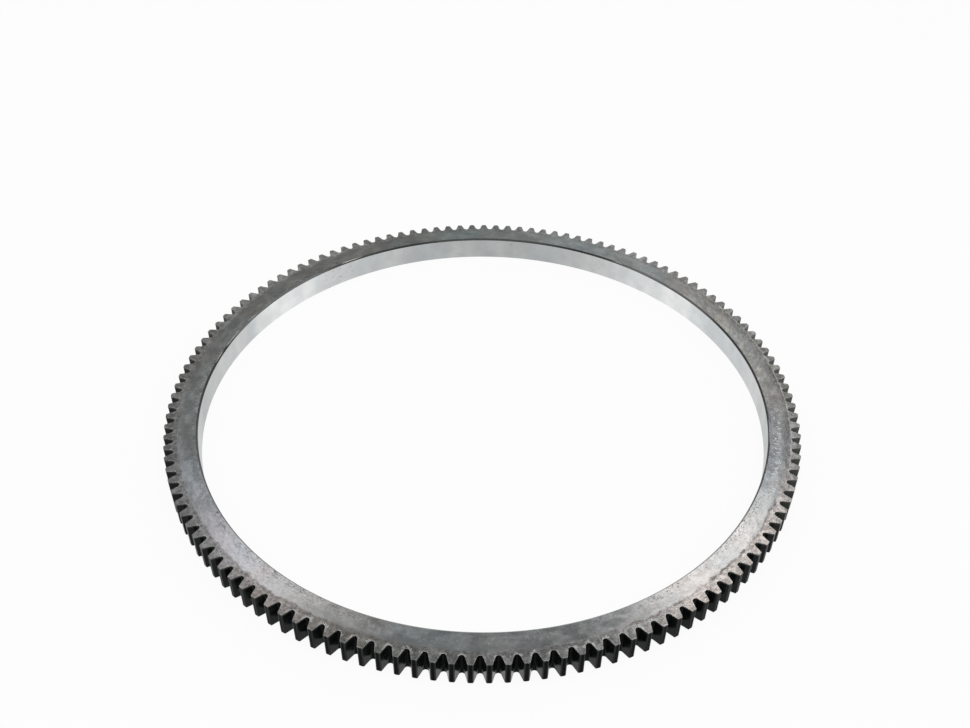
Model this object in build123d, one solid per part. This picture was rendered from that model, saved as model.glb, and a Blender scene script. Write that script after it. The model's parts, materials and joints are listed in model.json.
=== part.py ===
"""Starter ring gear that is pressed onto the rim of an engine flywheel.

One piece of steel: a flat ring, turned from a rolled bar, with spur teeth hobbed round its outside.
It lies flat on its lower face. The origin is at the centre of that face, +Z is the ring's axis, and the
middle of one tooth lies on +X.
"""

from build123d import *
from math import atan2, cos, hypot, pi, radians, sin, sqrt, tan
import os

# Driving dimensions, in millimetres and degrees

# Teeth: stub teeth of a standard module. At the pitch circle a tooth is a little narrower than its space,
# which leaves the backlash.
module = 3.0
tooth_count = 132
pressure_angle = 20.0
addendum = 2.4
dedendum = 3.3
tooth_thickness = 4.6

# Body: the rim is what is left between the tooth roots and the bore, the face width is the ring's height as
# it lies, and the chamfer is on the upper edge of the bore
rim_width = 14.5
face_width = 16.5
bore_chamfer = 1.0

# Sizes that follow from them, angles in radians
pitch_radius = module * tooth_count / 2
tip_radius = pitch_radius + addendum
root_radius = pitch_radius - dedendum
bore_radius = root_radius - rim_width
pitch_angle = 2 * pi / tooth_count
half_tooth = tooth_thickness / (2 * pitch_radius)
half_space = pitch_angle / 2 - half_tooth
flank_angle = radians(pressure_angle)


def polar(radius, angle):
    """The point at a radius and an angle from +X."""
    return (radius * cos(angle), radius * sin(angle))


def half_crest():
    """Half the angle that the land on top of a tooth takes up.

    A flank starts from the pitch circle at the pressure angle to the radius there. An involute of this
    size bends away from that straight line by less than 0.05 mm up to the tip or down to the root round,
    so the flank is drawn as the line itself. It ends where it meets the tip circle.
    """
    along_radius = pitch_radius * cos(flank_angle)
    length = sqrt(along_radius**2 + tip_radius**2 - pitch_radius**2) - along_radius
    x, y = polar(pitch_radius, half_tooth)
    direction = half_tooth - flank_angle
    return atan2(y + length * sin(direction), x + length * cos(direction))


def root_round_end():
    """Where the round in the bottom of a tooth space ends on the flank, as a radius and half an angle.

    With the middle of the space on +X, its flanks are two straight lines that open outwards. The round is
    the one circle that touches both of them and the root circle, which gives a full round root.
    """
    x, y = polar(pitch_radius, half_space)
    slope = flank_angle + half_space
    half_width = y - (x - root_radius) * tan(slope)
    round_radius = half_width * cos(slope) / (1 - sin(slope))
    end_x = root_radius + round_radius * (1 - sin(slope))
    end_y = round_radius * cos(slope)
    return hypot(end_x, end_y), atan2(end_y, end_x)


def tooth_edges(middle):
    """One tooth and the space after it, going anticlockwise: flank, tip, flank and root round."""
    crest = half_crest()
    end_radius, half_round = root_round_end()
    foot = pitch_angle / 2 - half_round
    right_foot = polar(end_radius, middle - foot)
    right_crest = polar(tip_radius, middle - crest)
    left_crest = polar(tip_radius, middle + crest)
    left_foot = polar(end_radius, middle + foot)
    root_bottom = polar(root_radius, middle + pitch_angle / 2)
    next_foot = polar(end_radius, middle + pitch_angle - foot)
    return [
        Line(right_foot, right_crest),
        Line(right_crest, left_crest),
        Line(left_crest, left_foot),
        ThreePointArc(left_foot, root_bottom, next_foot),
    ]


def make_ring_gear():
    """The toothed outline drawn out to the face width and bored, with the upper bore edge chamfered."""
    outline = [edge for tooth in range(tooth_count) for edge in tooth_edges(tooth * pitch_angle)]
    blank = extrude(make_face(Wire(outline)), amount=face_width)
    ring = blank - extrude(Circle(bore_radius), amount=face_width)
    bore_wall = ring.faces().filter_by(GeomType.CYLINDER).sort_by(SortBy.AREA)[-1]
    upper_bore_edge = bore_wall.edges().filter_by(GeomType.CIRCLE).sort_by(Axis.Z)[-1]
    return chamfer(upper_bore_edge, bore_chamfer)


os.makedirs("parts", exist_ok=True)
export_step(make_ring_gear(), "parts/ring_gear.step")
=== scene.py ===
"""The finish of a starter ring gear: scaled steel faces, near black hobbed teeth and a bright turned bore.

The ring is one closed surface in metres. It lies on its lower face with its axis on +Z, and the middle of
one tooth lies on +X. Flat points are complex numbers, x + iy, so a turn about the axis is a multiplication.
"""

import json
import math
import bpy
import numpy as np
from mathutils import Matrix, Vector


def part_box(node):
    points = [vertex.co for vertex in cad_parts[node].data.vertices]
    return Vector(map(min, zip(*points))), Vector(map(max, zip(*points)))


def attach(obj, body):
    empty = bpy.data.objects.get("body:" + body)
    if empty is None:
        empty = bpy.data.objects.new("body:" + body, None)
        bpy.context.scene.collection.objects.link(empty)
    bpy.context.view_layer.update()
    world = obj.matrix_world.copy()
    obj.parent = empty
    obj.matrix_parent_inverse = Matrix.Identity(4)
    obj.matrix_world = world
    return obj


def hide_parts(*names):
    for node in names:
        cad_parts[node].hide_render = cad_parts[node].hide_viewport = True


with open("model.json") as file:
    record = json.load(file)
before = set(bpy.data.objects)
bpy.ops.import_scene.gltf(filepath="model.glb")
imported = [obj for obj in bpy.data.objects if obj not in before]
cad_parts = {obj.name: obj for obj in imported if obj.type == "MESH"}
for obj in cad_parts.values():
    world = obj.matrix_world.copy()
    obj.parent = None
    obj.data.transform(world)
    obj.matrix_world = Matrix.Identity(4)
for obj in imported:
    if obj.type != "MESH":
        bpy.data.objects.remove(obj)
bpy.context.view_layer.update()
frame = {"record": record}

NODE = "ring_gear"

# Sizes that the frame gives, in metres
FACE_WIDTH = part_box(NODE)[1][2]
BORE_MOUNT = next(mount for mount in frame["record"]["mounts"] if mount["name"] == "bore")
BORE_RADIUS = BORE_MOUNT["dims"]["r_mm"] / 1000

# Teeth, as the solid has them
MODULE = 0.003
TOOTH_COUNT = 132
PRESSURE_ANGLE = math.radians(20)
ADDENDUM = 0.0024
DEDENDUM = 0.0033
TOOTH_THICKNESS = 0.0046
BORE_CHAMFER = 0.001

PITCH_RADIUS = MODULE * TOOTH_COUNT / 2
TIP_RADIUS = PITCH_RADIUS + ADDENDUM
ROOT_RADIUS = PITCH_RADIUS - DEDENDUM
PITCH_ANGLE = 2 * math.pi / TOOTH_COUNT
HALF_TOOTH = TOOTH_THICKNESS / (2 * PITCH_RADIUS)
HALF_SPACE = PITCH_ANGLE / 2 - HALF_TOOTH

# The full round in the bottom of a space, with the middle of the space on +X
FLANK_SLOPE = PRESSURE_ANGLE + HALF_SPACE
SPACE_PITCH_POINT = PITCH_RADIUS * complex(math.cos(HALF_SPACE), math.sin(HALF_SPACE))
ROOT_HALF_WIDTH = SPACE_PITCH_POINT.imag - (SPACE_PITCH_POINT.real - ROOT_RADIUS) * math.tan(FLANK_SLOPE)
ROOT_ROUND = ROOT_HALF_WIDTH * math.cos(FLANK_SLOPE) / (1 - math.sin(FLANK_SLOPE))
ROOT_CENTRE = ROOT_RADIUS + ROOT_ROUND

# Broken edges, in metres. The ends of the teeth are broken a little at the tip and more in the root. On the
# upper face the break is wider than it is deep, and its width goes up and down round the ring by a share.
TIP_CORNER = 0.0006
UPPER_EDGE = {"tip": 0.00010, "root": 0.00030}
UPPER_EDGE_DEPTH_TO_WIDTH = 0.6
UPPER_EDGE_UNEVENNESS = 0.35
UPPER_EDGE_SEED = 11
LOWER_EDGE = {"tip": 0.00050, "root": 0.00090}
BORE_EDGE = 0.00020

# Columns of the surface along half a tooth. The first few of the root belong to the flank's finish. Inside
# the roots there is a circle where the columns are evenly spaced, and one half way from it to the bore.
LAND_STEPS = 3
CORNER_STEPS = 3
FLANK_STEPS = 4
ROOT_STEPS = 7
ROOT_SIDE_STEPS = 3
EVEN_RADIUS = ROOT_RADIUS - 0.0022
FACE_MIDDLE = (EVEN_RADIUS + BORE_RADIUS) / 2

# Which finish each part of the surface has
FACE, FLANKS, SOOT, BORE, CHAMFER = range(5)

# Places in the finishes: where the hardened zone of the teeth begins, the hob's feed for each turn, how far
# round the swells of painted shade on the bore are turned, and how smears on the face lean away from the
# ring's direction
HARDENED_RADIUS = ROOT_RADIUS - 0.0035
HOB_FEED = 0.0021
# painted shade: this turn puts the darkest swell of the bore at +Y
SHADE_WAVE_PHASE = math.radians(90)
SMEAR_SLANT = math.radians(35)

# Temper colours that the heat left on the faces: which way round the ring, in degrees from +X, within how
# many degrees a colour is full, beyond how many it is gone, and the tint
TEMPER_COLOURS = [
    (-165, 5, 16, (1.025, 1.060, 1.055)),
    (-145, 8, 28, (1.010, 1.005, 1.040)),
    (-118, 6, 18, (1.040, 0.990, 0.935)),
    (-105, 5, 16, (0.965, 0.995, 1.000)),
    (-75, 6, 24, (0.975, 0.995, 1.015)),
    (-40, 12, 28, (1.015, 0.998, 0.995)),
    (-30, 8, 18, (1.055, 1.055, 1.055)),
    (-14, 6, 20, (0.935, 0.965, 0.995)),
    (18, 12, 36, (1.016, 0.992, 0.970)),
    (62, 5, 18, (0.995, 1.035, 1.035)),
    (92, 6, 24, (0.950, 1.015, 1.005)),
    (145, 20, 45, (1.005, 1.000, 0.975)),
]

# The same for the hardened zone alone, which is darker with painted shade round -135 degrees, sooty on
# another side, rusty on a third and pale on a fourth, and for the edge of the bore alone
HARDENED_TINTS_AND_SHADE = [
    # painted shade: the hardened zone darker round -135 degrees
    (-135, 32, 50, (0.758, 0.760, 0.737)),
    (-120, 5, 15, (0.915, 0.905, 0.925)),
    (-38, 14, 30, (1.130, 1.095, 1.065)),
    (18, 10, 32, (0.830, 0.855, 0.860)),
    (138, 12, 34, (1.430, 1.455, 1.465)),
]
BORE_EDGE_COLOURS = [
    (-135, 8, 20, (0.925, 0.925, 0.915)),
    (-119, 5, 14, (1.120, 1.120, 1.130)),
    (-12, 8, 18, (0.820, 0.825, 0.860)),
    (22, 8, 22, (1.100, 1.090, 1.070)),
]

# The same for the wall of the bore: two bright patches and a dull one, painted light and shade of the floor
# that the bore mirrors
BORE_PAINTED_LIGHT = [
    (46, 8, 18, (1.190, 1.190, 1.190)),
    (146, 4, 14, (1.200, 1.200, 1.200)),
    (170, 14, 24, (0.880, 0.885, 0.890)),
]

# Studio, in metres, and how much of the white floor a camera sees as plain white
FLOOR_HALF = 40.0
FLOOR_WHITE_SHARE = 0.93
LAMP_DISTANCE = 2.5


def half_tooth_outline():
    """Half a tooth from the middle of its tip to the bottom of the space after it, as points and normals.

    The land and the flank are straight. The corner between them is a parabola that leaves both at the same
    distance from where they would meet. The root is an arc about a centre on the middle of the space. Each
    normal is the direction of travel turned a quarter to the right.
    """
    along_radius = PITCH_RADIUS * math.cos(PRESSURE_ANGLE)
    flank_length = math.sqrt(along_radius**2 + TIP_RADIUS**2 - PITCH_RADIUS**2) - along_radius
    outward = np.exp(1j * (HALF_TOOTH - PRESSURE_ANGLE))
    crest = PITCH_RADIUS * np.exp(1j * HALF_TOOTH) + flank_length * outward

    land = crest.real + 1j * np.linspace(0, crest.imag - TIP_CORNER, LAND_STEPS + 1)
    land_normal = np.ones(len(land))

    t = np.linspace(0, 1, CORNER_STEPS + 1)[1:]
    flank_top = crest - TIP_CORNER * outward
    corner = (1 - t) ** 2 * land[-1] + 2 * t * (1 - t) * crest + t**2 * flank_top
    travel = (1 - t) * (crest - land[-1]) + t * (flank_top - crest)
    corner_normal = -1j * travel / abs(travel)

    into_space = np.exp(1j * PITCH_ANGLE / 2)
    sweep = np.linspace(math.pi / 2 - FLANK_SLOPE, 0, ROOT_STEPS + 1)
    root = (ROOT_CENTRE - ROOT_ROUND * np.exp(1j * sweep)) * into_space
    root_normal = np.exp(1j * sweep) * into_space

    s = np.linspace(0, 1, FLANK_STEPS + 1)[1:-1]
    flank = flank_top + s * (root[0] - flank_top)
    flank_normal = np.full(len(s), 1j * outward)

    points = np.concatenate([land, corner, flank, root])
    normals = np.concatenate([land_normal, corner_normal, flank_normal, root_normal])
    return points, normals


def toothed_outline():
    """All the teeth, anticlockwise from the middle of the tooth on +X.

    Half a tooth and its mirror image make one pitch, which is turned about the axis for each tooth.
    """
    points, normals = half_tooth_outline()
    points = np.concatenate([points, np.conj(points[-2:0:-1]) * np.exp(1j * PITCH_ANGLE)])
    normals = np.concatenate([normals, np.conj(normals[-2:0:-1]) * np.exp(1j * PITCH_ANGLE)])
    turns = np.exp(1j * PITCH_ANGLE * np.arange(TOOTH_COUNT))[:, None]
    return (points * turns).ravel(), (normals * turns).ravel()


def uneven(angle, seed, waves=12, fewest_turns=5, most_turns=400):
    """A smooth value from about -1 to 1 round the ring: a sum of sine waves with whole numbers of turns."""
    draw = np.random.default_rng(seed)
    turns = draw.integers(fewest_turns, most_turns, waves)[:, None]
    phases = draw.uniform(0, 2 * math.pi, waves)[:, None]
    return np.sin(turns * angle + phases).sum(axis=0) / math.sqrt(waves)


def ring_rows(outline, normals):
    """The strip borders of the surface: up the teeth, in over the face, down the bore and back below.

    Each row is flat points, height, the flat part of the normal, the height part of the normal, and the
    finish of the strip that follows it. A broken edge of a square corner is three rows of a quarter round,
    and mid is how far in the middle one lies, as a share.
    """
    circle = np.exp(2j * math.pi * np.arange(len(outline)) / len(outline))
    rootness = (TIP_RADIUS - abs(outline)) / (TIP_RADIUS - ROOT_RADIUS)
    upper = UPPER_EDGE["tip"] + (UPPER_EDGE["root"] - UPPER_EDGE["tip"]) * rootness
    upper *= 1 + UPPER_EDGE_UNEVENNESS * uneven(np.angle(outline), UPPER_EDGE_SEED)
    lower = LOWER_EDGE["tip"] + (LOWER_EDGE["root"] - LOWER_EDGE["tip"]) * rootness
    mid = 1 - math.sqrt(0.5)
    top, low = FACE_WIDTH, 0.0
    rows = []

    def tooth_row(inset, height, tilt, finish):
        rows.append((outline - inset * normals, height, normals * math.cos(tilt), math.sin(tilt), finish))

    def round_row(radius, height, tilt, finish):
        rows.append((circle * radius, height, -circle * math.cos(tilt), math.sin(tilt), finish))

    aslant, upright = math.pi / 4, math.pi / 2
    drop = upper * UPPER_EDGE_DEPTH_TO_WIDTH
    tooth_row(lower, low, -upright, FLANKS)
    tooth_row(lower * mid, low + lower * mid, -aslant, FLANKS)
    tooth_row(0, low + lower, 0, FLANKS)
    for share in (0.25, 0.5, 0.75):
        tooth_row(0, low + share * FACE_WIDTH, 0, FLANKS)
    tooth_row(0, top - drop, 0, FLANKS)
    tooth_row(upper * mid, top - drop * mid, aslant, FACE)
    tooth_row(upper, top, upright, FACE)

    chamfer_top = BORE_RADIUS + BORE_CHAMFER
    chamfer_low = top - BORE_CHAMFER
    round_row(EVEN_RADIUS, top, upright, FACE)
    round_row(FACE_MIDDLE, top, upright, FACE)
    round_row(chamfer_top + BORE_EDGE / 2, top, upright, CHAMFER)
    round_row(chamfer_top - BORE_EDGE / 2, top - BORE_EDGE / 2, aslant, CHAMFER)
    round_row(BORE_RADIUS + BORE_EDGE / 2, chamfer_low + BORE_EDGE / 2, aslant, CHAMFER)
    round_row(BORE_RADIUS, chamfer_low - BORE_EDGE / 2, 0, BORE)
    round_row(BORE_RADIUS, low + FACE_WIDTH / 2, 0, BORE)
    round_row(BORE_RADIUS, low + BORE_EDGE, 0, BORE)
    round_row(BORE_RADIUS + BORE_EDGE * mid, low + BORE_EDGE * mid, -aslant, BORE)
    round_row(BORE_RADIUS + BORE_EDGE, low, -upright, FACE)
    round_row(FACE_MIDDLE, low, -upright, FACE)
    round_row(EVEN_RADIUS, low, -upright, FACE)
    return rows


def make_ring(materials):
    """The ring as one closed grid.

    Its columns follow the toothed outline and its rows go once round the section. A quad joins each point
    to the next one along and to the two in the next row.
    """
    rows = ring_rows(*toothed_outline())
    flat = np.array([row[0] for row in rows])
    count, columns = flat.shape
    heights = np.array([row[1] * np.ones(columns) for row in rows])
    flat_normals = np.array([row[2] for row in rows])
    normal_heights = np.array([row[3] for row in rows])[:, None] * np.ones(columns)
    points = np.stack([flat.real, flat.imag, heights], axis=-1).reshape(-1, 3)
    normals = np.stack([flat_normals.real, flat_normals.imag, normal_heights], axis=-1).reshape(-1, 3)

    row, column = np.divmod(np.arange(count * columns), columns)
    next_row = (row + 1) % count
    next_column = (column + 1) % columns
    quads = np.stack([
        row * columns + column,
        row * columns + next_column,
        next_row * columns + next_column,
        next_row * columns + column,
    ], axis=1)

    tooth_columns = columns // TOOTH_COUNT
    from_middle = np.minimum(column % tooth_columns, tooth_columns - 1 - column % tooth_columns)
    on_land = from_middle < LAND_STEPS
    in_root = from_middle >= LAND_STEPS + CORNER_STEPS + FLANK_STEPS + ROOT_SIDE_STEPS
    finish = np.repeat([row[4] for row in rows], columns).astype(np.int32)
    finish[(finish == FLANKS) & (on_land | in_root)] = SOOT

    mesh = bpy.data.meshes.new("ring_gear_finished")
    mesh.from_pydata(points, [], quads)
    mesh.polygons.foreach_set("material_index", finish)
    mesh.polygons.foreach_set("use_smooth", np.ones(len(quads), dtype=bool))
    for material in materials:
        mesh.materials.append(material)
    mesh.normals_split_custom_set_from_vertices(normals)
    ring = bpy.data.objects.new("ring_gear_finished", mesh)
    bpy.context.scene.collection.objects.link(ring)
    return ring


class Value:
    """One output in a node tree. Sums, differences and products of numbers add Math nodes to the tree."""

    def __init__(self, tree, socket):
        self.tree = tree
        self.socket = socket

    def __add__(self, other):
        return self.tree.math("ADD", self, other)

    def __sub__(self, other):
        return self.tree.math("SUBTRACT", self, other)

    def __rsub__(self, other):
        return self.tree.math("SUBTRACT", other, self)

    def __mul__(self, other):
        return self.tree.math("MULTIPLY", self, other)

    __radd__ = __add__
    __rmul__ = __mul__


class Tree:
    """Short calls for a node tree: each adds one node, and takes values of the tree or plain numbers."""

    def __init__(self, node_tree):
        self.nodes = node_tree.nodes
        self.links = node_tree.links

    def feed(self, socket, value):
        """Links a value to an input, or sets the input to a plain number or colour."""
        if isinstance(value, Value):
            self.links.new(value.socket, socket)
        else:
            socket.default_value = value

    def add(self, kind, inputs=None, **settings):
        """Any node: its settings by name, its inputs by name or number."""
        node = self.nodes.new(kind)
        for name, value in settings.items():
            setattr(node, name, value)
        for key, value in (inputs or {}).items():
            self.feed(node.inputs[key], value)
        return node

    def math(self, operation, *values):
        node = self.add("ShaderNodeMath", dict(enumerate(values)), operation=operation)
        return Value(self, node.outputs[0])

    def vector(self, operation, *values):
        node = self.add("ShaderNodeVectorMath", dict(enumerate(values)), operation=operation)
        return Value(self, node.outputs["Value" if operation == "LENGTH" else "Vector"])

    def split(self, vector):
        outputs = self.add("ShaderNodeSeparateXYZ", {0: vector}).outputs
        return [Value(self, output) for output in outputs]

    def combine(self, x, y, z):
        return Value(self, self.add("ShaderNodeCombineXYZ", {0: x, 1: y, 2: z}).outputs[0])

    def noise(self, vector, size, detail=2.0, roughness=0.5, distortion=0.0, low=0.32, high=0.68):
        """Noise with spots of a size in metres, stretched so that most of it fills 0 to 1."""
        inputs = {"Vector": vector, "Scale": 1 / size, "Detail": detail, "Roughness": roughness,
                  "Distortion": distortion}
        node = self.add("ShaderNodeTexNoise", inputs)
        return self.ramp(Value(self, node.outputs["Fac"]), low, high)

    def ramp(self, value, low, high, out_low=0.0, out_high=1.0):
        """A smooth step from out_low to out_high while value goes from low to high."""
        inputs = {"Value": value, "From Min": low, "From Max": high, "To Min": out_low, "To Max": out_high}
        node = self.add("ShaderNodeMapRange", inputs, interpolation_type="SMOOTHSTEP")
        return Value(self, node.outputs[0])

    def fall(self, value, low, high):
        """A smooth step from 1 down to 0 while value goes from low to high."""
        return self.ramp(value, low, high, 1.0, 0.0)

    def facing(self, angle, way, full, none):
        """1 within full degrees of a way round the ring, and 0 beyond none degrees of it."""
        near = self.math("COSINE", angle - math.radians(way))
        return self.ramp(near, math.cos(math.radians(none)), math.cos(math.radians(full)))

    def lay_side_tints(self, colour, angle, tints, share=1.0):
        """A colour with a share of each tint of a list laid over it, on the tint's own side of the ring."""
        for way, full, none, tint in tints:
            colour = self.mix(self.facing(angle, way, full, none) * share, colour, self.tint(colour, tint))
        return colour

    def mix(self, share, a, b):
        """Colour a with a share of colour b mixed in."""
        node = self.add("ShaderNodeMix", {"Factor": share, 6: a, 7: b}, data_type="RGBA")
        return Value(self, node.outputs[2])

    def tint(self, colour, by):
        """A colour multiplied by a colour or a number."""
        return self.vector("MULTIPLY", colour, by)

    def bump(self, height, depth):
        """The surface normal of a height from 0 to 1 that stands for a depth in metres."""
        return Value(self, self.add("ShaderNodeBump", {"Distance": depth, "Height": height}).outputs[0])

    def group(self, shared, inputs=None):
        """A shared node group with its inputs by name, as a dictionary of its outputs."""
        node = self.add("ShaderNodeGroup", node_tree=shared)
        for name, value in (inputs or {}).items():
            self.feed(node.inputs[name], value)
        return {output.name: Value(self, output) for output in node.outputs}


def new_group(name, inputs, outputs):
    """An empty shared group, its tree, its inputs as values, and a dictionary of what its outputs take."""
    group = bpy.data.node_groups.new(name, "ShaderNodeTree")
    for socket, kind in inputs.items():
        group.interface.new_socket(socket, in_out="INPUT", socket_type=kind)
    for socket, kind in outputs.items():
        group.interface.new_socket(socket, in_out="OUTPUT", socket_type=kind)
    t = Tree(group)
    given = {output.name: Value(t, output) for output in t.add("NodeGroupInput").outputs}
    wanted = t.add("NodeGroupOutput").inputs
    return group, t, given, wanted


NUMBER, VECTOR = "NodeSocketFloat", "NodeSocketVector"


def ring_places_group():
    """Where a point lies on the ring, worked out from its object coordinates.

    Edge Distance is how far the point lies inside the tooth outline. In one half pitch that is the least of
    three lengths: down from the tip circle, square to the flank, and out from the arc of the root round.
    Around is the point moved to the pitch circle, with its own radius as third number, so that a pattern
    on it follows the ring and has no seam. Rhythm is 1 behind the middle of a tooth and -1 behind a space.
    Painted Shade Waves goes from 1 to -1 and back three times round the ring; the bore's finish uses it for
    painted shade and light. Angle is counted from +X, in radians.
    """
    outputs = {"Radius": NUMBER, "Height": NUMBER, "Angle": NUMBER, "Around": VECTOR,
               "Edge Distance": NUMBER, "Rhythm": NUMBER, "Painted Shade Waves": NUMBER}
    group, t, _, wanted = new_group("Ring places", {}, outputs)
    point = Value(t, t.add("ShaderNodeTexCoord").outputs["Object"])
    x, y, z = t.split(point)
    flat = t.combine(x, y, 0.0)
    radius = t.vector("LENGTH", flat)
    angle = t.math("ARCTAN2", y, x)

    from_space = t.math("PINGPONG", angle + PITCH_ANGLE / 2, PITCH_ANGLE / 2)
    across = radius * t.math("SINE", from_space)
    outward = radius * t.math("COSINE", from_space)
    beyond = outward - ROOT_CENTRE
    slope_cosine, slope_sine = math.cos(FLANK_SLOPE), math.sin(FLANK_SLOPE)
    to_round = t.vector("LENGTH", t.combine(beyond, across, 0.0)) - ROOT_ROUND
    past_side = across - SPACE_PITCH_POINT.imag
    past_pitch = outward - SPACE_PITCH_POINT.real
    to_flank = past_side * slope_cosine - past_pitch * slope_sine
    on_flank = t.math("GREATER_THAN", beyond * slope_cosine + across * slope_sine, 0.0)
    to_side = to_round + on_flank * (to_flank - to_round)

    around_x, around_y, _ = t.split(t.vector("NORMALIZE", flat))
    t.feed(wanted["Radius"], radius)
    t.feed(wanted["Height"], z)
    t.feed(wanted["Edge Distance"], t.math("MINIMUM", to_side, TIP_RADIUS - radius))
    t.feed(wanted["Around"], t.combine(around_x * PITCH_RADIUS, around_y * PITCH_RADIUS, radius))
    t.feed(wanted["Rhythm"], t.math("COSINE", angle * TOOTH_COUNT))
    t.feed(wanted["Painted Shade Waves"], t.math("COSINE", angle * 3 + SHADE_WAVE_PHASE))
    t.feed(wanted["Angle"], angle)
    return group


def scale_mottle_group():
    """The unevenness of mill scale, each value from 0 to 1.

    Clouds are some 5 cm wide. Blotches are 1 cm long and streaks nearly as long, both drawn out along the
    ring. Wrinkles are 2 to 3 mm wide and grain is under 1 mm. Pits lie in clusters, and smaller flecks lie
    all over. Warmth is a slow drift of hue.
    """
    names = ("Clouds", "Blotches", "Streaks", "Wrinkles", "Grain", "Pits", "Flecks", "Warmth")
    outputs = {name: NUMBER for name in names}
    group, t, given, wanted = new_group("Scale mottle", {"Around": VECTOR}, outputs)
    around = given["Around"]
    drawn_out = t.vector("MULTIPLY", around, (1.0, 1.0, 1.7))
    stretched = t.vector("MULTIPLY", around, (1.0, 1.0, 4.0))
    elsewhere = t.vector("ADD", around, (0.4, 0.1, 0.3))
    flattened = t.vector("MULTIPLY", elsewhere, (1.0, 1.0, 2.5))
    clusters = t.noise(elsewhere, 0.012, 1.0, 0.5, low=0.38, high=0.58)
    t.feed(wanted["Clouds"], t.noise(around, 0.050, 1.0, 0.5, distortion=0.4))
    t.feed(wanted["Blotches"], t.noise(drawn_out, 0.0100, 1.0, 0.5, distortion=0.3))
    t.feed(wanted["Streaks"], t.noise(stretched, 0.0090, 1.0, 0.5, distortion=0.3))
    t.feed(wanted["Wrinkles"], t.noise(around, 0.0026, 2.0, 0.6, distortion=0.3))
    t.feed(wanted["Grain"], t.noise(elsewhere, 0.0009, 1.0, 0.6))
    t.feed(wanted["Pits"], t.noise(flattened, 0.0020, 2.0, 0.6, low=0.55, high=0.66) * clusters)
    t.feed(wanted["Flecks"], t.noise(flattened, 0.0014, 2.0, 0.7, low=0.53, high=0.64))
    t.feed(wanted["Warmth"], t.noise(elsewhere, 0.030, 1.0, 0.5, distortion=0.3))
    return group


def new_material(name):
    """A material with an emptied tree, its Principled shader linked to the output."""
    material = bpy.data.materials.new(name)
    material.use_nodes = True
    material.node_tree.nodes.clear()
    t = Tree(material.node_tree)
    shader = t.add("ShaderNodeBsdfPrincipled")
    output = t.add("ShaderNodeOutputMaterial")
    t.links.new(shader.outputs[0], output.inputs["Surface"])
    return material, t, shader.inputs


def scale_colour(t, place, patch, hardened, speckle, near_bore):
    """Grey mill scale, browner and speckled where hardened, with heat tints, painted shade and mottle."""
    hue = t.mix(patch["Warmth"], (0.352, 0.365, 0.369, 1), (0.374, 0.366, 0.359, 1))
    hardened_hue = t.mix(speckle, (0.247, 0.239, 0.235, 1), (0.437, 0.424, 0.417, 1))
    # painted shade round -135 degrees comes in with the hardened zone's tints
    hardened_hue = t.lay_side_tints(hardened_hue, place["Angle"], HARDENED_TINTS_AND_SHADE)
    colour = t.mix(hardened, hue, hardened_hue)
    colour = t.lay_side_tints(colour, place["Angle"], TEMPER_COLOURS)
    colour = t.lay_side_tints(colour, place["Angle"], BORE_EDGE_COLOURS, near_bore)
    tone = (0.91 + 0.18 * patch["Clouds"]) * (0.89 + 0.22 * patch["Blotches"])
    tone = tone * (0.96 + 0.08 * patch["Streaks"])
    tone = tone * (0.94 + 0.12 * patch["Wrinkles"]) * (0.97 + 0.06 * patch["Grain"])
    return t.tint(colour, tone)


def smear_tint(t, place):
    """The tint of smears that lean away from the ring's own direction."""
    radius = place["Radius"]
    arc = place["Angle"] * PITCH_RADIUS
    along = arc * math.cos(SMEAR_SLANT) + radius * math.sin(SMEAR_SLANT)
    across = radius * math.cos(SMEAR_SLANT) - arc * math.sin(SMEAR_SLANT)
    smears = t.noise(t.combine(along * 0.3, across, 0.0), 0.0028, 2.0, 0.6)
    return t.mix(smears, (0.82, 0.82, 0.84, 1), (1.19, 1.18, 1.15, 1))


def dark_streaks(t, place):
    """Where dark streaks run along the bore, on one side of the ring."""
    drawn_out = t.combine(place["Angle"] * PITCH_RADIUS * 0.22, place["Radius"], 0.2)
    streaks = t.noise(drawn_out, 0.0014, 2.0, 0.6, low=0.52, high=0.66)
    by_bore = t.fall(place["Radius"], BORE_RADIUS + 0.002, BORE_RADIUS + 0.009)
    return streaks * by_bore * t.facing(place["Angle"], -128, 12, 28)


def pale_scuffs(t, place, near_bore):
    """Where pale scuffs lie: half way across the face on two sides, and near the bore on a third."""
    angle = place["Angle"]
    half_way = t.fall(t.math("ABSOLUTE", place["Radius"] - FACE_MIDDLE), 0.0010, 0.0045)
    scuffed_sides = t.math("MAXIMUM", t.facing(angle, -17, 8, 20), 0.4 * t.facing(angle, -97, 12, 26))
    scuffed = half_way * scuffed_sides + 0.5 * near_bore * t.facing(angle, 158, 25, 42)
    return t.noise(place["Around"], 0.0023, 2.0, 0.7, low=0.51, high=0.62) * scuffed


def scraped_edges(t, place):
    """Where the tooth spaces' edges are scraped: most in the roots, with a painted highlight on one side.
    """
    # painted highlight: the scraped edges are brightest round -88 degrees
    painted_glint_side = 0.35 + 0.65 * t.facing(place["Angle"], -88, 22, 42)
    rootness = t.fall(place["Radius"], ROOT_RADIUS, ROOT_RADIUS + 0.0045)
    scraped = t.noise(place["Around"], 0.0035, 2.0, 0.65)
    ragged = t.noise(place["Around"], 0.0012, 1.0)
    reach = 0.0001 + 0.0018 * rootness * scraped * ragged
    scrape = t.fall(place["Edge Distance"] - reach, 0.0, 0.0008) * painted_glint_side
    return scrape * (0.1 + 0.9 * scraped) * (0.45 + 0.55 * rootness)


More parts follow.
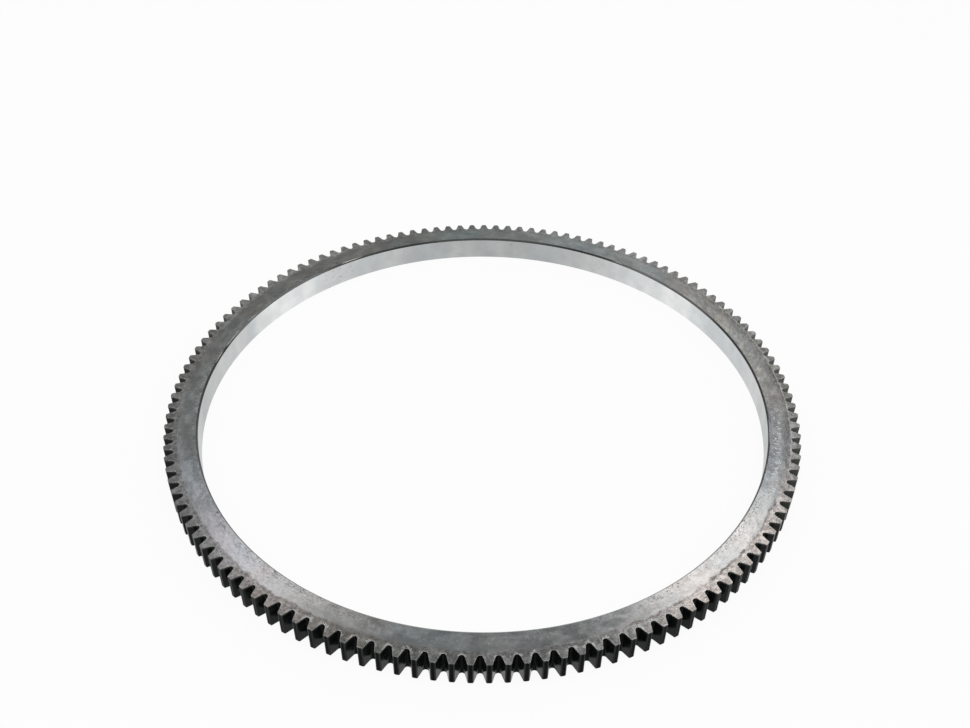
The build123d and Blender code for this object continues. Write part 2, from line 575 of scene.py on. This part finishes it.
def face_material(places, mottle):
    """The rolled faces: grey scale, browner, rougher and more speckled where the teeth were hardened.

    A dark wavering line, broken in places and plain on one side only, runs between the two. Round the tooth
    spaces the edge is scraped bright, with a painted highlight on one side. On one side of the ring the
    roots are joined by a rubbed line with a dark band inside it, and the scale there is smeared aslant.
    Pits lie near the bore and among the teeth, flecks lie all over and thickest on two sides, and there are
    dark streaks and pale scuffs.
    """
    material, t, shader = new_material("scaled_face")
    place = t.group(places)
    patch = t.group(mottle, {"Around": place["Around"]})
    radius, around, angle = place["Radius"], place["Around"], place["Angle"]

    wander = t.noise(around, 0.011, 2.0, 0.6)
    shiver = t.noise(around, 0.0032, 1.0)
    smoulder = t.noise(around, 0.0050, 2.0, 0.6, low=0.40, high=0.62)
    speckle = t.noise(around, 0.0023, 2.0, 0.6)
    near_bore = t.fall(radius, BORE_RADIUS + 0.002, BORE_RADIUS + 0.008)
    past_line = radius - (HARDENED_RADIUS + 0.0010 * wander + 0.0006 * shiver + 0.0002 * place["Rhythm"])
    hardened = t.ramp(past_line, -0.0006, 0.0008)
    plain_side = t.facing(angle, -40, 25, 50)
    line = t.fall(t.math("ABSOLUTE", past_line), 0.0001, 0.0012) * (0.15 + 0.85 * smoulder)
    line = line * (0.30 + 0.70 * plain_side)

    colour = scale_colour(t, place, patch, hardened, speckle, near_bore)
    colour = t.mix(t.facing(angle, 20, 12, 28), colour, t.tint(colour, smear_tint(t, place)))
    colour = t.mix(line * 0.45, colour, (0.150, 0.118, 0.105, 1))

    flecked_side = t.math("MAXIMUM", plain_side, t.facing(angle, -142, 14, 34))
    flecks = patch["Flecks"] * (0.25 + 0.75 * flecked_side) * (0.6 + 0.4 * near_bore)
    colour = t.mix(flecks * 0.54, colour, (0.130, 0.125, 0.125, 1))
    pits = patch["Pits"] * t.math("MAXIMUM", 0.3 + 0.7 * near_bore, hardened)
    colour = t.mix(pits * 0.55, colour, (0.100, 0.096, 0.100, 1))
    colour = t.tint(colour, 1.03 - 0.17 * smoulder * near_bore * flecked_side)
    colour = t.mix(dark_streaks(t, place) * 0.55, colour, (0.105, 0.108, 0.120, 1))
    scuffs = pale_scuffs(t, place, near_bore)
    colour = t.mix(scuffs * 0.62, colour, (0.64, 0.66, 0.68, 1))

    rubbed_side = t.facing(angle, 10, 18, 34)
    band = t.ramp(radius, ROOT_RADIUS - 0.0085, ROOT_RADIUS - 0.0030)
    band = band * t.fall(radius, ROOT_RADIUS - 0.0012, ROOT_RADIUS - 0.0006) * rubbed_side
    colour = t.tint(colour, 1.0 - 0.24 * band)
    off_roots = t.math("ABSOLUTE", radius - (ROOT_RADIUS - 0.0006 + 0.0005 * shiver))
    rubbed = t.fall(off_roots, 0.0001, 0.0005) * rubbed_side * (0.3 + 0.7 * wander)
    colour = t.mix(rubbed * 0.55, colour, (0.62, 0.61, 0.58, 1))
    scrape = scraped_edges(t, place)
    colour = t.mix(scrape * 0.75, colour, (0.70, 0.69, 0.67, 1))

    roughness = 0.135 + 0.05 * patch["Blotches"] + 0.02 * patch["Streaks"] + 0.04 * hardened
    relief = patch["Blotches"] + patch["Wrinkles"] * 0.15 + speckle * hardened * 0.05 - pits * 0.2
    t.feed(shader["Base Color"], colour)
    t.feed(shader["Metallic"], 1.0)
    t.feed(shader["Roughness"], roughness + 0.22 * line + 0.12 * pits + 0.12 * scuffs + 0.12 * scrape)
    t.feed(shader["Normal"], t.bump(relief, 0.000014))
    return material


def flank_material(places, mottle):
    """The flanks: black from quenching, with painted light that makes them greyer on one side of the ring,
    painted shade that makes them blacker on another side, and faint waves left by the hob.

    Close under the upper face the black is worn to grey, least where the painted shade is.
    """
    material, t, shader = new_material("quenched_flanks")
    place = t.group(places)
    patch = t.group(mottle, {"Around": place["Around"]})
    smoke = t.noise(t.combine(*t.split(place["Around"])[:2], place["Height"]), 0.004, 2.0)
    feed_wave = t.math("SINE", place["Height"] * (2 * math.pi / HOB_FEED))
    black = t.mix(smoke, (0.0034, 0.0044, 0.0040, 1), (0.010, 0.012, 0.011, 1))
    # painted light greys the flanks on one side; painted shade blackens them on another
    painted_light_side = t.facing(place["Angle"], 25, 10, 62)
    painted_shade_side = t.facing(place["Angle"], -72, 12, 30)
    colour = t.mix(painted_light_side, black, (0.105, 0.108, 0.102, 1))
    colour = t.tint(colour, 1.0 - 0.4 * painted_shade_side)
    worn = t.ramp(place["Height"], FACE_WIDTH - 0.0014, FACE_WIDTH - 0.0002)
    worn = worn * (0.6 - 0.4 * painted_shade_side)
    t.feed(shader["Base Color"], t.mix(worn, colour, (0.150, 0.150, 0.145, 1)))
    t.feed(shader["Roughness"], 0.12 + 0.08 * smoke)
    t.feed(shader["Specular IOR Level"], 0.085)
    t.feed(shader["Specular Tint"], (0.88, 1.0, 0.94, 1))
    t.feed(shader["Normal"], t.bump(0.5 * feed_wave + 0.5 * patch["Grain"], 0.000004))
    return material


def soot_material(places):
    """The lands on the tips of the teeth and the bottoms of the roots: sooty, duller than the flanks."""
    material, t, shader = new_material("sooty_lands")
    place = t.group(places)
    x, y, _ = t.split(place["Around"])
    lines = t.noise(t.combine(x * 0.1, y * 0.1, place["Height"]), 0.0005)
    smoke = t.noise(t.combine(x, y, place["Height"]), 0.005, 2.0)
    t.feed(shader["Base Color"], t.mix(smoke, (0.0010, 0.0016, 0.0014, 1), (0.004, 0.0052, 0.0048, 1)))
    t.feed(shader["Roughness"], 0.20 + 0.10 * smoke)
    t.feed(shader["Specular IOR Level"], 0.015)
    t.feed(shader["Normal"], t.bump(lines, 0.000003))
    return material


def bore_material(places):
    """The turned bore: bright steel with fine lines round it.

    Three slow swells of brightness go round it, painted shade and light that are darkest at +Y, where the
    bore mirrors the shaded floor at the foot of its wall. Patches of painted light and shade lie on it too,
    with fainter bands and blotches between them and a few clusters of nicks.
    """
    material, t, shader = new_material("turned_bore")
    place = t.group(places)
    x, y, _ = t.split(place["Around"])
    height = place["Height"]
    lines = t.noise(t.combine(x * 0.02, y * 0.02, height), 0.0007)
    bands = t.noise(t.combine(x, y, 0.0), 0.040, 2.0, 0.5, low=0.38, high=0.62)
    blotches = t.noise(t.combine(x, y, height), 0.010, 2.0)
    nicks = t.noise(t.combine(x, y, height * 1.5), 0.0025, 1.0, 0.5, low=0.62, high=0.70)
    nicks = nicks * t.noise(t.combine(x, y, height * 0.5), 0.024, 1.0, 0.5, low=0.58, high=0.68)
    # painted shade and light: the swells darken the bore most at +Y, where it mirrors the shaded floor
    tone = (0.54 - 0.11 * place["Painted Shade Waves"]) * (0.94 + 0.12 * bands) * (0.95 + 0.10 * blotches)
    colour = t.mix(bands, (0.950, 0.990, 1.0, 1), (0.990, 1.0, 0.990, 1))
    # painted light and shade: bright and dull patches of the floor that the bore mirrors
    colour = t.lay_side_tints(colour, place["Angle"], BORE_PAINTED_LIGHT)
    colour = t.tint(colour, tone * (0.985 + 0.03 * lines))
    t.feed(shader["Base Color"], t.mix(nicks * 0.4, colour, (0.22, 0.22, 0.22, 1)))
    t.feed(shader["Metallic"], 1.0)
    t.feed(shader["Roughness"], 0.29 + 0.04 * lines)
    return material


def chamfer_material(places):
    """The bore's chamfer: black, with grey stretches that are painted highlights, and rubbed bright along
    its upper edge.

    The rubbing is bright worn metal and also a painted highlight of the edge catching the light. It is only
    in places, but it is all along on one side.
    """
    material, t, shader = new_material("black_chamfer")
    place = t.group(places)
    angle = place["Angle"]
    # bright worn metal along the upper edge, partly a painted highlight of the edge catching the light
    rubbed = t.noise(place["Around"], 0.035, 2.0, 0.6, low=0.56, high=0.66)
    rubbed = t.math("MAXIMUM", rubbed, 0.7 * t.facing(angle, -90, 45, 75))
    rise = place["Radius"] - BORE_RADIUS
    rubbed = rubbed * t.ramp(rise, 0.6 * BORE_CHAMFER, 0.9 * BORE_CHAMFER)
    # painted highlights: grey stretches where the chamfer catches the light
    paler = t.facing(angle, 149, 11, 19) + 0.7 * t.facing(angle, -52, 14, 30)
    paler = paler + 0.75 * t.facing(angle, 44, 8, 18) + 0.22 * t.facing(angle, 12, 16, 30)
    # black scale with the painted highlights laid in
    scale = t.mix(paler, (0.008, 0.009, 0.009, 1), (0.13, 0.13, 0.13, 1))
    t.feed(shader["Base Color"], t.mix(rubbed, scale, (0.50, 0.50, 0.49, 1)))
    t.feed(shader["Metallic"], rubbed)
    t.feed(shader["Roughness"], 0.22)
    t.feed(shader["Specular IOR Level"], 0.5)
    return material


def make_floor():
    """A white floor under the ring, which a camera, a mirror or glass sees mostly as plain white.

    The rest of it is lit like paper, so that it keeps a soft shadow.
    """
    corners = [(x * FLOOR_HALF, y * FLOOR_HALF, 0) for x, y in ((-1, -1), (1, -1), (1, 1), (-1, 1))]
    mesh = bpy.data.meshes.new("floor")
    mesh.from_pydata(corners, [], [(0, 1, 2, 3)])
    material = bpy.data.materials.new("white_floor")
    material.use_nodes = True
    material.node_tree.nodes.clear()
    t = Tree(material.node_tree)
    paper = t.add("ShaderNodeBsdfDiffuse", {"Color": (0.93, 0.93, 0.93, 1)})
    white = t.add("ShaderNodeEmission", {"Color": (1, 1, 1, 1), "Strength": 1.0})
    rays = t.add("ShaderNodeLightPath").outputs
    seen = t.math("MAXIMUM", Value(t, rays["Is Camera Ray"]), Value(t, rays["Is Glossy Ray"]))
    seen = t.math("MAXIMUM", seen, Value(t, rays["Is Transmission Ray"]))
    both = t.add("ShaderNodeMixShader", {0: seen * FLOOR_WHITE_SHARE})
    t.links.new(paper.outputs[0], both.inputs[1])
    t.links.new(white.outputs[0], both.inputs[2])
    t.links.new(both.outputs[0], t.add("ShaderNodeOutputMaterial").inputs["Surface"])
    mesh.materials.append(material)
    floor = bpy.data.objects.new("floor", mesh)
    bpy.context.scene.collection.objects.link(floor)


def make_world():
    """A studio with walls that are pale at their foot and grey above, and paler on the right."""
    world = bpy.data.worlds.new("studio")
    bpy.context.scene.world = world
    world.use_nodes = True
    world.node_tree.nodes.clear()
    t = Tree(world.node_tree)
    x, _, height = t.split(Value(t, t.add("ShaderNodeTexCoord").outputs["Generated"]))
    foot = 0.62 * t.fall(height, 0.08, 0.30)
    right = 0.30 * t.ramp(x, -0.15, 0.16) * t.fall(height, 0.62, 0.82)
    sky = t.add("ShaderNodeBackground", {"Color": (0.982, 1.0, 0.995, 1), "Strength": 0.35 + foot + right})
    t.links.new(sky.outputs[0], t.add("ShaderNodeOutputWorld").inputs["Surface"])


def softbox(name, azimuth, elevation, width, height, radiance, colour=(1, 1, 1), shape="RECTANGLE"):
    """An area lamp aimed at the ring's centre, from an azimuth in degrees to the right of +Y.

    Its power is its radiance times its area times pi.
    """
    lamp = bpy.data.lights.new(name, "AREA")
    lamp.shape = shape
    lamp.size = width
    lamp.size_y = height
    lamp.color = colour
    lamp.energy = radiance * width * height * math.pi * (math.pi / 4 if shape == "ELLIPSE" else 1)
    a, e = math.radians(azimuth), math.radians(elevation)
    towards = Vector((math.sin(a) * math.cos(e), math.cos(a) * math.cos(e), math.sin(e)))
    holder = bpy.data.objects.new(name, lamp)
    holder.location = towards * LAMP_DISTANCE
    holder.rotation_mode = "QUATERNION"
    holder.rotation_quaternion = towards.to_track_quat("Z", "Y")
    bpy.context.scene.collection.objects.link(holder)


def make_camera():
    """The photograph's camera: pitched down at the ring, a little to its right, and rolled slightly.

    Its place is given along its own right, up and forward directions from the centre of the upper face, in
    tip radii. The whole camera is turned about the ring's axis by part of a tooth, so that the teeth stand
    where they do in the photograph.
    """
    pitch, roll, turn = math.radians(40.456), math.radians(2.358), math.radians(-0.769)
    right_of_axis, above_axis, back_from_face = 0.1085, 0.1046, 3.3388
    image_width, focal_pixels, centre_shift_pixels = 970, 1036.7, 36.1
    forward = Vector((0, math.cos(pitch), -math.sin(pitch)))
    up = Vector((0, math.sin(pitch), math.cos(pitch)))
    right = Vector((1, 0, 0))
    place = TIP_RADIUS * (right * right_of_axis + up * above_axis - forward * back_from_face)
    place += Vector((0, 0, FACE_WIDTH))
    camera_x = math.cos(roll) * right + math.sin(roll) * up
    camera_y = math.cos(roll) * up - math.sin(roll) * right
    axes = Matrix((camera_x, camera_y, -forward)).transposed().to_4x4()
    camera = bpy.data.cameras.new("camera")
    camera.sensor_width = 36
    camera.lens = camera.sensor_width * focal_pixels / image_width
    camera.shift_x = -centre_shift_pixels / image_width
    holder = bpy.data.objects.new("camera", camera)
    holder.matrix_world = Matrix.Rotation(turn, 4, "Z") @ Matrix.Translation(place) @ axes
    bpy.context.scene.collection.objects.link(holder)
    bpy.context.scene.camera = holder


places = ring_places_group()
mottle = scale_mottle_group()
finishes = {
    FACE: face_material(places, mottle),
    FLANKS: flank_material(places, mottle),
    SOOT: soot_material(places),
    BORE: bore_material(places),
    CHAMFER: chamfer_material(places),
}
ring = make_ring([finishes[number] for number in sorted(finishes)])
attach(ring, "root")
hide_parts(NODE)

make_floor()
make_world()
softbox("softbox_right", azimuth=18.5, elevation=49.0, width=0.50, height=0.53, radiance=2.7,
        colour=(1.0, 0.972, 0.955), shape="ELLIPSE")
softbox("softbox_left", azimuth=-23.0, elevation=50.2, width=0.47, height=0.47, radiance=1.8,
        colour=(0.95, 0.95, 1.0), shape="ELLIPSE")
for side, azimuth in (("east", 90), ("front", 180), ("west", 270)):
    softbox("softbox_" + side, azimuth, elevation=58, width=1.6, height=1.2, radiance=1.5)
make_camera()
bpy.context.scene.view_settings.view_transform = "Standard"
